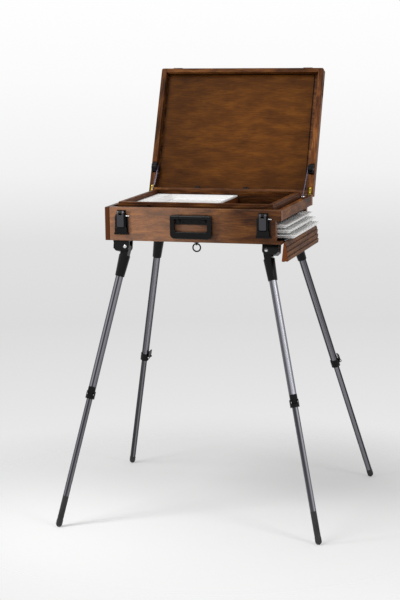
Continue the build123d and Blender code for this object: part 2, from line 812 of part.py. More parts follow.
with BuildPart() as pivot_pins:
    for leg_name in leg_places:
        leg_plane, leg_axis, leg_length = brackets[leg_name]
        with BuildSketch(Plane(origin=leg_plane.origin, z_dir=leg_axis)):
            Circle(fold_pin_radius)
        extrude(amount=cheek_out + 0.6, both=True)
    for side in sides.values():
        centre = side * latch_centre
        with BuildSketch(Plane(origin=(centre, latch_pin_y, latch_pin_z), z_dir=(1, 0, 0))):
            Circle(1.5)
        extrude(amount=lever_half + 0.2, both=True)
        side_pin = Plane(origin=(centre + cheek_near, side_pin_y, side_pin_z), z_dir=(1, 0, 0))
        with BuildSketch(side_pin):
            Circle(side_pin_radius)
        extrude(amount=12.4)
        with BuildSketch(stay_pivot_plane(side, 202.8)):
            Circle(4)
        extrude(amount=2)
        with BuildSketch(stay_pivot_plane(side, 204)):
            Circle(2)
        extrude(amount=inner_x + 6 - 204)
        with BuildSketch(stay_pivot_plane(side, 207)):
            Circle(4)
        extrude(amount=inner_x - 207)
save(pivot_pins, "pivot_pins")

neck = 21
socket_end = 75
socket_radii = (11.7, 14.3)
tube_start = 34
knuckle_end_radius = 9.8
knuckle_half = 10.7
lever_pivot = 377
lever_offset = 14.2
lever_barrel = 2.4
lever_pin_radius = 1.2
lever_pin_bore = 1.26
lever_web_half = 4.6
lever_plate_half = 9
lever_plate = (12.1, 15.3)
lever_plate_start = 372.6
lever_tip = 358
lug_span = (5, 7.4)
lug_round = 3.4


def lever_turn(name):
    """The turn about the leg that brings its x axis to where the lock lever faces."""
    heading = radians(lever_headings[name])
    return Location((0, 0, 0), (0, 0, degrees(atan2(-cos(heading), sin(heading)))))


def leg_fittings(name):
    """The moulded socket that folds on the pin, and the clamp collar of the tubes."""
    with BuildPart(brackets[name][0]) as fittings:
        with Locations((0, 0, -(neck + socket_end) / 2)):
            Cone(*socket_radii, socket_end - neck)
        span_box((-knuckle_half, knuckle_half), (-knuckle_end_radius, knuckle_end_radius),
                 (-neck - 1, 0))
        Cylinder(knuckle_end_radius, 2 * knuckle_half, rotation=(0, 90, 0))
        Cylinder(fold_pin_bore + 0.01, 4 * knuckle_half, rotation=(0, 90, 0),
                 mode=Mode.SUBTRACT)
        with Locations((0, 0, -(tube_start + socket_end + 1) / 2)):
            Cylinder(upper_tube_radius, socket_end + 1 - tube_start, mode=Mode.SUBTRACT)
        with Locations((0, 0, -collar_end + collar_length / 2)):
            Cylinder(collar_radius, collar_length)
        with Locations(lever_turn(name)):
            for lug in (-1, 1):
                span_box((upper_tube_radius + 0.4, lever_offset), side_span(lug, *lug_span),
                         (-lever_pivot - lug_round, -lever_pivot + lug_round))
                with Locations((lever_offset, lug * sum(lug_span) / 2, -lever_pivot)):
                    Cylinder(lug_round, lug_span[1] - lug_span[0], rotation=(90, 0, 0))
            with Locations((lever_offset, 0, -lever_pivot)):
                Cylinder(lever_pin_radius, 2 * lug_span[1], rotation=(90, 0, 0))
        with Locations((0, 0, -collar_end + collar_lip + collar_length / 2)):
            Cylinder(upper_tube_radius, collar_length, mode=Mode.SUBTRACT)
        with Locations((0, 0, -collar_end)):
            Cylinder(lower_tube_radius + 0.06, collar_length, mode=Mode.SUBTRACT)
    save(fittings, f"leg_{name}_fittings")


def leg_lock_lever(name):
    """The flip lever that clamps the collar, with a wide finger plate."""
    with BuildPart(brackets[name][0]) as lever:
        with Locations(lever_turn(name)):
            span_box(lever_plate, (-lever_plate_half, lever_plate_half),
                     (-lever_plate_start, -lever_tip))
        fillet(lever.edges(), 1)
        with Locations(lever_turn(name)):
            span_box((lever_offset - 1.5, lever_offset + 1), (-lever_web_half, lever_web_half),
                     (-lever_pivot, -lever_plate_start + 2))
            with Locations((lever_offset, 0, -lever_pivot)):
                Cylinder(lever_barrel, 2 * lever_web_half, rotation=(90, 0, 0))
                Cylinder(lever_pin_bore, 4 * lever_web_half, rotation=(90, 0, 0),
                         mode=Mode.SUBTRACT)
    save(lever, f"leg_{name}_lock_lever")


def leg_tubes(name):
    """The upper tube in its socket and the lower tube that slides inside it."""
    frame, axis, length = brackets[name]
    foot_start = length - foot_lengths[name]
    upper_end = collar_end - collar_lip
    with BuildPart(frame) as upper:
        with Locations((0, 0, -(tube_start + upper_end) / 2)):
            Cylinder(upper_tube_radius, upper_end - tube_start)
            Cylinder(upper_tube_bore, upper_end - tube_start, mode=Mode.SUBTRACT)
    save(upper, f"leg_{name}_upper_tube")
    with BuildPart(frame) as lower:
        with Locations((0, 0, -(lower_tube_start + foot_start) / 2)):
            Cylinder(lower_tube_radius, foot_start - lower_tube_start)
        with Locations((0, 0, -lower_tube_start - guide_length / 2)):
            Cylinder(upper_tube_bore - 0.06, guide_length)
        with Locations((0, 0, -(lower_tube_start + foot_start) / 2)):
            Cylinder(lower_tube_bore, foot_start - lower_tube_start, mode=Mode.SUBTRACT)
    save(lower, f"leg_{name}_lower_tube")
    with BuildPart(frame) as foot:
        with Locations((0, 0, -(foot_start + length) / 2)):
            Cylinder(lower_tube_radius, length - foot_start)
        with Locations((0, 0, -foot_start + plug_length / 2)):
            Cylinder(lower_tube_bore, plug_length)
        with Locations((0, 0, -length + 5)):
            Cylinder(foot_radius, 10)
        with Locations((0, 0, -length)):
            Sphere(foot_radius)
    save(foot, f"leg_{name}_foot")


for leg_name in leg_places:
    leg_fittings(leg_name)
    leg_lock_lever(leg_name)
    leg_tubes(leg_name)
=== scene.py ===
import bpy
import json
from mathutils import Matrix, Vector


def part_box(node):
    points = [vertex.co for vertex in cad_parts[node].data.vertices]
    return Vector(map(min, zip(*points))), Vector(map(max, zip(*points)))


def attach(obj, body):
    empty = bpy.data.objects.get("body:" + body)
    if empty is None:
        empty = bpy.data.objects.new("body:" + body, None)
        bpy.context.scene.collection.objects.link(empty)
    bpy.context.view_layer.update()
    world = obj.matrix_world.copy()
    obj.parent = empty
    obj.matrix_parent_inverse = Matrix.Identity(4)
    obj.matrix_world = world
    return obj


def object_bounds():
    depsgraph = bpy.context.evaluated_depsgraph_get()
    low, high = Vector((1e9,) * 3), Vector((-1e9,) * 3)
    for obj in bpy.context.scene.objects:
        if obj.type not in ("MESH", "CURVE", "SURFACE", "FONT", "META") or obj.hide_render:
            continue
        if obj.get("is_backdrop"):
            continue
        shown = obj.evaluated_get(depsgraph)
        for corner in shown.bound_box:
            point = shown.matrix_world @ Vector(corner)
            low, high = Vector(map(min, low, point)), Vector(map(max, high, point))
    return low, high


bl_info = {
    "name": "Pochade box",
    "version": (1, 0, 0),
    "blender": (4, 5, 0),
    "location": "View3D > Sidebar > Pochade box",
    "description": "Finishes and small fittings of a wooden painting box on telescopic legs",
    "category": "Object",
}

import json
from math import cos, pi, radians, sin

import bmesh
import bpy
from bpy.props import FloatProperty, FloatVectorProperty, PointerProperty
from bpy.types import Operator, Panel, PropertyGroup
from mathutils import Matrix, Vector

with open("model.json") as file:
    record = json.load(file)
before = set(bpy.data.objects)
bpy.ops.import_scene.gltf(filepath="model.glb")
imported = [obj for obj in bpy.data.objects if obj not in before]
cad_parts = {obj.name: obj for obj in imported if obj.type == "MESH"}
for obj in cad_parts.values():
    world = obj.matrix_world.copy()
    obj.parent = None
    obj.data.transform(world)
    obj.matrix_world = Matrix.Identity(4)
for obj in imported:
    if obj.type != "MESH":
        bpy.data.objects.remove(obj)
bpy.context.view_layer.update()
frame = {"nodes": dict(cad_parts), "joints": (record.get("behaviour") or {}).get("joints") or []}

MM = 0.001
LEGS = ("front_left", "front_right", "back_left", "back_right")
SIDES = {"left": -1, "right": 1}
LID_LEAN = radians(22.8)
JOINTS = {joint["name"]: joint for joint in frame["joints"]}


# ---------------------------------------------------------------- colours and nodes


def linear(hex_colour):
    """A linear colour from an sRGB hex value."""
    values = [int(hex_colour[place:place + 2], 16) / 255 for place in (1, 3, 5)]
    return tuple(v / 12.92 if v <= 0.04045 else ((v + 0.055) / 1.055) ** 2.4 for v in values)


def opaque(colour):
    """A colour with a full alpha, as sockets want it."""
    return (*tuple(colour)[:3], 1.0)


def shade(colour, amount):
    """A colour made lighter or darker by a factor."""
    return tuple(min(1.0, channel * amount) for channel in tuple(colour)[:3])


def add_node(tree, kind, settings=None, links=None, stops=None):
    """Add one node with its properties, socket values, links and colour stops."""
    node = tree.nodes.new(kind)
    for name, value in (settings or {}).items():
        if isinstance(name, str) and name.islower():
            setattr(node, name, value)
        else:
            node.inputs[name].default_value = value
    for name, source in (links or {}).items():
        tree.links.new(source, node.inputs[name])
    if stops:
        elements = node.color_ramp.elements
        while len(elements) < len(stops):
            elements.new(1.0)
        for element, (position, colour) in zip(elements, stops):
            element.position = position
            element.color = opaque(colour)
    return node


def new_material(name):
    """An empty node material with a Principled shader wired to its output."""
    material = bpy.data.materials.new(name)
    material.use_nodes = True
    tree = material.node_tree
    tree.nodes.clear()
    shader = add_node(tree, "ShaderNodeBsdfPrincipled")
    add_node(tree, "ShaderNodeOutputMaterial", links={"Surface": shader.outputs["BSDF"]})
    return material, tree, shader


WHITE = (1.0, 1.0, 1.0)
BLACK = (0.0, 0.0, 0.0)


def grey(level):
    """A linear grey of one level."""
    return shade(WHITE, level)


# ---------------------------------------------------------------- wood

ARRIS = 1.2 * MM                # rubbed roundness of a wooden edge
GRAIN_WIDTH = 2.4 * MM          # width of a streak of the walnut and of a band of the veneer
BEND_SCALE = 9.0                # the grain wanders over about 110 mm
GRAIN_WANDER = 22 * MM
# How far painted shade reaches out of a groove, the inside of the case and the panel's corners.
GROOVE = 7 * MM
DEEP_HOLLOW = 45 * MM
PANEL_CORNER = 12 * MM
# Painted light: a pool of light painted on the lid's panel, lighter about this point and darker
# towards its edges.
PANEL_PAINTED_LIGHT_AT = Vector((0.06, 0.0, 0.0))       # from the middle of the lid's panel
PANEL_PAINTED_LIGHT_REACH = Vector((0.235, 0.24, 0.24))
# Painted light: the front wall is painted lighter, with a painted sheen, at its left end and
# painted darker at its right.
FRONT_WALL_PAINTED_LIGHT = {"start": -0.06, "end": 0.14, "left": 1.6, "right": 0.68, "haze": 0.3}


def paint_corner_shade(tree, colour, reach):
    """Darken a colour with painted shade in grooves and inside corners."""
    hollow = add_node(tree, "ShaderNodeAmbientOcclusion", {"samples": 6, "Distance": reach})
    depth = add_node(tree, "ShaderNodeValToRGB", links={"Fac": hollow.outputs["AO"]},
                     stops=((0.35, grey(0.25)), (0.85, WHITE)))
    return add_node(tree, "ShaderNodeMix",
                    {"data_type": "RGBA", "blend_type": "MULTIPLY", 0: 1.0},
                    {6: colour, 7: depth.outputs["Color"]})


def stained_walnut(name, turn, seed, colours, lightness, sheen_level=0.14, hollow=GROOVE,
                   fade=None):
    """Planed walnut, stained and oiled.

    The eye sees long streaks along the board, broad clouds of figure, short dark
    pores, painted shade on the arrises and in grooves, and a low satin sheen. A fade paints
    light on the board: its left end one brightness with a painted sheen, its right end another.
    """
    material, tree, shader = new_material(name)
    place = add_node(tree, "ShaderNodeTexCoord")
    board = add_node(tree, "ShaderNodeMapping",
                     {"vector_type": "TEXTURE", "Location": seed, "Rotation": turn},
                     {"Vector": place.outputs["Object"]})
    bend = add_node(tree, "ShaderNodeTexNoise", {"Scale": BEND_SCALE, "Detail": 2.0},
                    {"Vector": board.outputs["Vector"]})
    wander = add_node(tree, "ShaderNodeVectorMath",
                      {"operation": "MULTIPLY_ADD", 1: (0.0, GRAIN_WANDER, GRAIN_WANDER)},
                      {0: bend.outputs["Color"], 2: board.outputs["Vector"]})
    streak_place = add_node(tree, "ShaderNodeMapping",
                            {"vector_type": "TEXTURE",
                             "Scale": (110 * MM, GRAIN_WIDTH, GRAIN_WIDTH)},
                            {"Vector": wander.outputs["Vector"]})
    streaks = add_node(tree, "ShaderNodeTexNoise",
                       {"Scale": 1.0, "Detail": 5.0, "Roughness": 0.62},
                       {"Vector": streak_place.outputs["Vector"]})
    cloud_place = add_node(tree, "ShaderNodeMapping",
                           {"vector_type": "TEXTURE", "Scale": (85 * MM, 21 * MM, 21 * MM)},
                           {"Vector": wander.outputs["Vector"]})
    clouds = add_node(tree, "ShaderNodeTexNoise", {"Scale": 1.0, "Detail": 3.0, "Distortion": 0.6},
                      {"Vector": cloud_place.outputs["Vector"]})
    both = add_node(tree, "ShaderNodeMix", {"data_type": "FLOAT", 0: 0.55},
                    {2: streaks.outputs["Fac"], 3: clouds.outputs["Fac"]})
    tones = add_node(tree, "ShaderNodeValToRGB", links={"Fac": both.outputs[0]}, stops=(
        (0.33, shade(colours.walnut_dark, lightness)),
        (0.45, shade(colours.walnut_middle, lightness)),
        (0.57, shade(colours.walnut_light, lightness)),
        (0.70, shade(colours.walnut_gold, lightness)),
    ))
    figure = tones.outputs["Color"]
    # Painted light: the colour is scaled from the board's left end to its right, and a painted
    # sheen is mixed into the left end.
    if fade:
        along = add_node(tree, "ShaderNodeSeparateXYZ", links={"Vector": place.outputs["Object"]})
        ends = add_node(tree, "ShaderNodeMapRange",
                        {"interpolation_type": "SMOOTHSTEP",
                         "From Min": fade["start"], "From Max": fade["end"],
                         "To Min": fade["left"], "To Max": fade["right"]},
                        {"Value": along.outputs["X"]})
        faded = add_node(tree, "ShaderNodeVectorMath", {"operation": "SCALE"},
                         {0: figure, "Scale": ends.outputs["Result"]})
        haze = add_node(tree, "ShaderNodeMapRange",
                        {"interpolation_type": "SMOOTHSTEP",
                         "From Min": fade["start"], "From Max": fade["end"],
                         "To Min": fade["haze"], "To Max": 0.0},
                        {"Value": along.outputs["X"]})
        painted_sheen_mixed = add_node(tree, "ShaderNodeMix",
                         {"data_type": "RGBA", 7: opaque(colours.walnut_painted_sheen)},
                         {0: haze.outputs["Result"], 6: faded.outputs["Vector"]})
        figure = painted_sheen_mixed.outputs[2]
    # Pores are 0.1 mm wide in the wood and drawn 0.6 mm wide so that they show.
    pore_place = add_node(tree, "ShaderNodeMapping",
                          {"vector_type": "TEXTURE", "Scale": (9 * MM, 0.6 * MM, 0.6 * MM)},
                          {"Vector": wander.outputs["Vector"]})
    pores = add_node(tree, "ShaderNodeTexNoise", {"Scale": 1.0, "Detail": 1.0},
                     {"Vector": pore_place.outputs["Vector"]})
    pore_mask = add_node(tree, "ShaderNodeValToRGB", links={"Fac": pores.outputs["Fac"]},
                         stops=((0.34, grey(0.45)), (0.44, WHITE)))
    grained = add_node(tree, "ShaderNodeMix",
                       {"data_type": "RGBA", "blend_type": "MULTIPLY", 0: 0.55},
                       {6: figure, 7: pore_mask.outputs["Color"]})
    # End grain drinks more stain: faces across the grain are redder and plain.
    direction = turn.to_matrix() @ Vector((1.0, 0.0, 0.0))
    facing = add_node(tree, "ShaderNodeVectorMath", {"operation": "DOT_PRODUCT", 1: direction},
                      {0: place.outputs["Normal"]})
    end_amount = add_node(tree, "ShaderNodeMath", {"operation": "ABSOLUTE"},
                          {0: facing.outputs["Value"]})
    end_mask = add_node(tree, "ShaderNodeValToRGB", links={"Fac": end_amount.outputs[0]},
                        stops=((0.75, BLACK), (0.9, WHITE)))
    end_grain = add_node(tree, "ShaderNodeMix",
                         {"data_type": "RGBA", 7: opaque(shade(colours.end_grain, lightness))},
                         {0: end_mask.outputs["Color"], 6: grained.outputs[2]})
    # The bevel gives the arrises their rubbed roundness, and a painted shade darkens each arris.
    soft = add_node(tree, "ShaderNodeBevel", {"samples": 4, "Radius": ARRIS})
    flat = add_node(tree, "ShaderNodeNewGeometry")
    turned = add_node(tree, "ShaderNodeVectorMath", {"operation": "DOT_PRODUCT"},
                      {0: soft.outputs["Normal"], 1: flat.outputs["True Normal"]})
    edge = add_node(tree, "ShaderNodeValToRGB", links={"Fac": turned.outputs["Value"]},
                    stops=((0.90, grey(0.38)), (0.995, WHITE)))
    coloured = add_node(tree, "ShaderNodeMix",
                        {"data_type": "RGBA", "blend_type": "MULTIPLY", 0: 0.8},
                        {6: end_grain.outputs[2], 7: edge.outputs["Color"]})
    # Painted shade in the grooves and inside corners of the board.
    corner_shaded = paint_corner_shade(tree, coloured.outputs[2], hollow)
    tree.links.new(corner_shaded.outputs[2], shader.inputs["Base Color"])
    sheen = add_node(tree, "ShaderNodeMapRange", {"To Min": 0.36, "To Max": 0.56},
                     {"Value": streaks.outputs["Fac"]})
    tree.links.new(sheen.outputs["Result"], shader.inputs["Roughness"])
    relief = add_node(tree, "ShaderNodeBump", {"Strength": 0.35, "Distance": 0.12 * MM},
                      {"Height": pore_mask.outputs["Color"], "Normal": soft.outputs["Normal"]})
    tree.links.new(relief.outputs["Normal"], shader.inputs["Normal"])
    shader.inputs["Specular IOR Level"].default_value = sheen_level
    return material


def stained_plywood(name, colours):
    """Birch plywood, stained golden brown.

    Rotary-cut veneer shows soft bands and blotches. A painted pool of light makes the middle
    of the panel lighter and its edges darker.
    """
    material, tree, shader = new_material(name)
    place = add_node(tree, "ShaderNodeTexCoord")
    band_place = add_node(tree, "ShaderNodeMapping",
                          {"vector_type": "TEXTURE", "Location": (0.3, 0.2, 0.1),
                           "Scale": (26 * MM, GRAIN_WIDTH, GRAIN_WIDTH)},
                          {"Vector": place.outputs["Object"]})
    bands = add_node(tree, "ShaderNodeTexNoise",
                     {"Scale": 1.0, "Detail": 6.0, "Roughness": 0.6, "Distortion": 0.4},
                     {"Vector": band_place.outputs["Vector"]})
    blotch_place = add_node(tree, "ShaderNodeMapping",
                            {"vector_type": "TEXTURE", "Scale": (60 * MM, 22 * MM, 22 * MM)},
                            {"Vector": place.outputs["Object"]})
    blotches = add_node(tree, "ShaderNodeTexNoise", {"Scale": 1.0, "Detail": 4.0},
                        {"Vector": blotch_place.outputs["Vector"]})
    both = add_node(tree, "ShaderNodeMix", {"data_type": "FLOAT", 0: 0.5},
                    {2: bands.outputs["Fac"], 3: blotches.outputs["Fac"]})
    tones = add_node(tree, "ShaderNodeValToRGB", links={"Fac": both.outputs[0]}, stops=(
        (0.26, colours.plywood_dark), (0.50, colours.plywood_middle),
        (0.76, colours.plywood_gold)))
    # Painted light: a pool of light painted lighter in the middle of the panel, darker towards its
    # edges.
    low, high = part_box("lid_panel")
    middle = (low + high) / 2 + PANEL_PAINTED_LIGHT_AT
    centre_place = add_node(tree, "ShaderNodeMapping",
                            {"vector_type": "TEXTURE", "Location": middle,
                             "Scale": PANEL_PAINTED_LIGHT_REACH},
                            {"Vector": place.outputs["Object"]})
    centre = add_node(tree, "ShaderNodeTexGradient", {"gradient_type": "SPHERICAL"},
                      {"Vector": centre_place.outputs["Vector"]})
    painted_pool = add_node(tree, "ShaderNodeValToRGB", links={"Fac": centre.outputs["Fac"]},
                     stops=((0.0, grey(0.6)), (0.7, WHITE)))
    coloured = add_node(tree, "ShaderNodeMix",
                        {"data_type": "RGBA", "blend_type": "MULTIPLY", 0: 1.0},
                        {6: tones.outputs["Color"], 7: painted_pool.outputs["Color"]})
    # Painted shade in the panel's corners and along its rails.
    corner_shaded = paint_corner_shade(tree, coloured.outputs[2], PANEL_CORNER)
    tree.links.new(corner_shaded.outputs[2], shader.inputs["Base Color"])
    sheen = add_node(tree, "ShaderNodeMapRange", {"To Min": 0.42, "To Max": 0.6},
                     {"Value": bands.outputs["Fac"]})
    tree.links.new(sheen.outputs["Result"], shader.inputs["Roughness"])
    # The veneer's fibres are drawn 1 mm wide, coarser than the real ones.
    fibre_place = add_node(tree, "ShaderNodeMapping",
                           {"vector_type": "TEXTURE", "Scale": (20 * MM, 1 * MM, 1 * MM)},
                           {"Vector": place.outputs["Object"]})
    fibres = add_node(tree, "ShaderNodeTexNoise", {"Scale": 1.0, "Detail": 2.0},
                      {"Vector": fibre_place.outputs["Vector"]})
    relief = add_node(tree, "ShaderNodeBump", {"Strength": 0.25, "Distance": 0.1 * MM},
                      {"Height": fibres.outputs["Fac"]})
    tree.links.new(relief.outputs["Normal"], shader.inputs["Normal"])
    shader.inputs["Specular IOR Level"].default_value = 0.06
    return material


# ---------------------------------------------------------------- plastics, metals, rubber

WORN_EDGE = 0.5 * MM            # rubbed roundness of a coated or moulded edge
HANDLING_SCALE = 45.0           # patches of wear about 22 mm across
SMUDGE_SCALE = 28.0             # smudges on a tube about 36 mm across
TUBE_LINE = 7 * MM
TUBE_LINE_LENGTH = 4000 * MM


def worn_finish(name, colour, worn, roughness, metallic, texture=None, wear=0.35, specular=0.5):
    """A coated, moulded or plated surface with an uneven sheen.

    The texture is the width of its grain and the strength of its relief, and it comes
    with rubbed edges. Without one the surface is smooth.
    """
    material, tree, shader = new_material(name)
    place = add_node(tree, "ShaderNodeTexCoord")
    handling = add_node(tree, "ShaderNodeTexNoise", {"Scale": HANDLING_SCALE, "Detail": 4.0},
                        {"Vector": place.outputs["Object"]})
    patches = add_node(tree, "ShaderNodeMath", {"operation": "MULTIPLY_ADD", 1: 0.3, 2: 0.0},
                       {0: handling.outputs["Fac"]})
    if texture:
        grain, relief = texture
        flat = add_node(tree, "ShaderNodeNewGeometry")
        soft = add_node(tree, "ShaderNodeBevel", {"samples": 4, "Radius": WORN_EDGE})
        turned = add_node(tree, "ShaderNodeVectorMath", {"operation": "DOT_PRODUCT"},
                          {0: soft.outputs["Normal"], 1: flat.outputs["True Normal"]})
        rubbed = add_node(tree, "ShaderNodeMapRange",
                          {"From Min": 0.99, "From Max": 0.8, "To Min": 0.0, "To Max": wear},
                          {"Value": turned.outputs["Value"]})
        tree.links.new(rubbed.outputs["Result"], patches.inputs[2])
        grit = add_node(tree, "ShaderNodeTexNoise", {"Scale": 1 / grain, "Detail": 2.0},
                        {"Vector": place.outputs["Object"]})
        bump = add_node(tree, "ShaderNodeBump", {"Strength": relief, "Distance": 0.06 * MM},
                        {"Height": grit.outputs["Fac"], "Normal": soft.outputs["Normal"]})
        tree.links.new(bump.outputs["Normal"], shader.inputs["Normal"])
    amount = add_node(tree, "ShaderNodeMath", {"operation": "SUBTRACT", 1: 0.1, "use_clamp": True},
                      {0: patches.outputs[0]})
    tone = add_node(tree, "ShaderNodeMix",
                    {"data_type": "RGBA", 6: opaque(colour), 7: opaque(worn)},
                    {0: amount.outputs[0]})
    tree.links.new(tone.outputs[2], shader.inputs["Base Color"])
    gloss = add_node(tree, "ShaderNodeMapRange",
                     {"From Min": 0.3, "From Max": 0.7,
                      "To Min": roughness * 0.8, "To Max": min(1.0, roughness * 1.25)},
                     {"Value": handling.outputs["Fac"]})
    tree.links.new(gloss.outputs["Result"], shader.inputs["Roughness"])
    shader.inputs["Metallic"].default_value = metallic
    shader.inputs["Specular IOR Level"].default_value = specular
    return material


def anodised_tube(name, colour, axis):
    """Drawn aluminium tube, anodised dark silver.

    Drawing lines run along the tube, and light and dark bands painted along them are painted
    reflections stretched into long streaks.
    """
    material, tree, shader = new_material(name)
    turn = Vector((0.0, 0.0, 1.0)).rotation_difference(axis).to_euler()
    place = add_node(tree, "ShaderNodeTexCoord")
    # The lines are drawn 7 mm wide, coarser than the real ones, so that they show; their light and
    # dark bands are painted reflections.
    line_place = add_node(tree, "ShaderNodeMapping",
                          {"vector_type": "TEXTURE", "Rotation": turn,
                           "Scale": (TUBE_LINE, TUBE_LINE, TUBE_LINE_LENGTH)},
                          {"Vector": place.outputs["Object"]})
    lines = add_node(tree, "ShaderNodeTexNoise", {"Scale": 1.0, "Detail": 1.0},
                     {"Vector": line_place.outputs["Vector"]})
    contrast = add_node(tree, "ShaderNodeMapRange", {"From Min": 0.4, "From Max": 0.6},
                        {"Value": lines.outputs["Fac"]})
    smudge = add_node(tree, "ShaderNodeTexNoise", {"Scale": SMUDGE_SCALE, "Detail": 3.0},
                      {"Vector": place.outputs["Object"]})
    tone = add_node(tree, "ShaderNodeMix",
                    {"data_type": "RGBA", 6: opaque(shade(colour, 0.3)),
                     7: opaque(shade(colour, 1.7))},
                    {0: contrast.outputs["Result"]})
    # A painted reflection: a dark line inside each edge, drawn on the faces that turn away from
    # the eye.
    facing = add_node(tree, "ShaderNodeLayerWeight", {"Blend": 0.5})
    painted_dark_rim = add_node(tree, "ShaderNodeValToRGB", links={"Fac": facing.outputs["Facing"]}, stops=(
        (0.16, WHITE), (0.34, grey(0.3)), (0.55, grey(0.3)), (0.9, grey(0.7))))
    lined = add_node(tree, "ShaderNodeMix",
                     {"data_type": "RGBA", "blend_type": "MULTIPLY", 0: 0.85},
                     {6: tone.outputs[2], 7: painted_dark_rim.outputs["Color"]})
    tree.links.new(lined.outputs[2], shader.inputs["Base Color"])
    gloss = add_node(tree, "ShaderNodeMapRange", {"To Min": 0.32, "To Max": 0.42},
                     {"Value": smudge.outputs["Fac"]})
    tree.links.new(gloss.outputs["Result"], shader.inputs["Roughness"])
    bump = add_node(tree, "ShaderNodeBump", {"Strength": 0.05, "Distance": 0.05 * MM},
                    {"Height": smudge.outputs["Fac"]})
    tree.links.new(bump.outputs["Normal"], shader.inputs["Normal"])
    shader.inputs["Metallic"].default_value = 1.0
    return material


def shared_finishes(colours):
    """The metals, plastics and rubber that several pieces share, made once."""
    made = bpy.data.materials
    if "black_powder_coated_steel" not in made:
        # Powder coat: glossy black with a faint orange peel, greyer where it is rubbed.
        worn_finish("black_powder_coated_steel", colours.powder_coat,
                    shade(colours.powder_coat, 4), 0.18, 0.0, (2.2 * MM, 0.2), specular=0.18)
        # Glass-filled nylon, moulded: satin black with a fine spark-eroded grain.
        worn_finish("moulded_black_nylon", colours.nylon,
                    shade(colours.nylon, 3), 0.3, 0.0, (1.0 * MM, 0.35), specular=0.16)
        # Nickel-plated steel: dark grey levers that mirror the room.
        worn_finish("nickel_plated_steel", colours.nickel,
                    shade(colours.nickel, 0.6), 0.2, 1.0, (3.0 * MM, 0.15), wear=0.3)
        # High-impact polystyrene, vacuum formed: white and smooth, with a soft gloss.
        worn_finish("vacuum_formed_white_polystyrene", colours.polystyrene,
                    shade(colours.polystyrene, 0.97), 0.35, 0.0)
        # Zinc-plated steel: dark grey with a faint violet passivation.
        worn_finish("zinc_plated_steel", colours.zinc,
                    shade(colours.zinc, 0.7), 0.3, 1.0, (1.6 * MM, 0.2))
        # Brass under old lacquer: dark gold, olive where it has dulled.
        worn_finish("lacquered_brass", shade(colours.brass, 0.3), colours.brass_dull,
                    0.3, 1.0, (1.4 * MM, 0.15), wear=0.5)
        # Brass screw heads, kept bright.
        worn_finish("polished_brass", colours.brass, shade(colours.brass, 0.7),
                    0.18, 1.0, (0.9 * MM, 0.1))
        # Vulcanised rubber: matt black with a dusty bloom.
        worn_finish("vulcanised_rubber", colours.rubber,
                    shade(colours.rubber, 3), 0.75, 0.0, (0.8 * MM, 0.4))
        # Turned stainless steel: bright rivet and screw heads.
        worn_finish("turned_stainless_steel", colours.stainless,
                    shade(colours.stainless, 0.75), 0.2, 1.0, (0.9 * MM, 0.1))
    return made


def dress(names, material):
    """Give carried CAD nodes their finish through their material slots."""
    for name in names:
        piece = frame["nodes"][name]
        piece.data.materials.clear()
        piece.data.materials.append(material)


# ---------------------------------------------------------------- pieces

WELD = 0.001 * MM
CREASE = radians(32)            # sharper edges than this stay crisp
TURNED_STEPS = 20
# Turned heads from the axis outwards, as parts of their radius and height.
SCREW_PROFILE = ((0.0, 1.0), (0.45, 0.94), (0.78, 0.66), (1.0, 0.12))
RIVET_PROFILE = ((0.0, 1.0), (0.4, 0.92), (0.7, 0.66), (0.86, 0.3), (0.88, 0.16), (1.0, 0.16))
SCREW_SUNK = 0.3 * MM           # how far a head reaches below the face it sits on
RIVET_SUNK = 0.2 * MM
RECESS_WIDTH, RECESS_LENGTH, RECESS_DEPTH = 0.26, 1.15, 0.7     # of the head's size
RECESS_FROM = 0.4               # faces above this part of the head's height are sunk
FIRST_SPIN, NEXT_SPIN = 0.5, 1.1        # how far the cross of each screw is turned


def finish_mesh(name, shape, material, body):
    """Close a bmesh into a named piece that rides on its body."""
    bmesh.ops.remove_doubles(shape, verts=shape.verts, dist=WELD)
    bmesh.ops.recalc_face_normals(shape, faces=shape.faces)
    for face in shape.faces:
        face.smooth = True
    for edge in shape.edges:
        if edge.is_manifold and edge.calc_face_angle() > CREASE:
            edge.smooth = False
    mesh = bpy.data.meshes.new(name)
    shape.to_mesh(mesh)
    shape.free()
    mesh.materials.append(material)
    piece = bpy.data.objects.new(name, mesh)
    bpy.context.scene.collection.objects.link(piece)
    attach(piece, body)
    return piece


def upright(origin, direction, spin=0.0):
    """The placing that turns local +Z to a direction at a point."""
    turn = Vector((0.0, 0.0, 1.0)).rotation_difference(Vector(direction))
    return Matrix.Translation(origin) @ turn.to_matrix().to_4x4() @ Matrix.Rotation(spin, 4, "Z")


def turned_head(profile, radius, height, sunk):
    """A turned head on the local Z axis, from a profile of its radius and height."""
    outline = [(radius * part, height * level) for part, level in profile]
    outline += [(radius, -sunk), (0.0, -sunk)]
    head = bmesh.new()
    points = [head.verts.new((across, 0.0, rise)) for across, rise in outline]
    edges = [head.edges.new(pair) for pair in zip(points, points[1:])]
    bmesh.ops.spin(head, geom=points + edges, axis=(0, 0, 1), cent=(0, 0, 0), dvec=(0, 0, 0),
                   angle=2 * pi, steps=TURNED_STEPS, use_merge=True, use_duplicate=False)
    bmesh.ops.remove_doubles(head, verts=head.verts[:], dist=WELD)
    return head


def add_head(shape, head, placing):
    """Move a finished head to its place in a shape."""
    bmesh.ops.transform(head, matrix=placing, verts=head.verts)
    spare = bpy.data.meshes.new("head")
    head.to_mesh(spare)
    head.free()
    shape.from_mesh(spare)
    bpy.data.meshes.remove(spare)


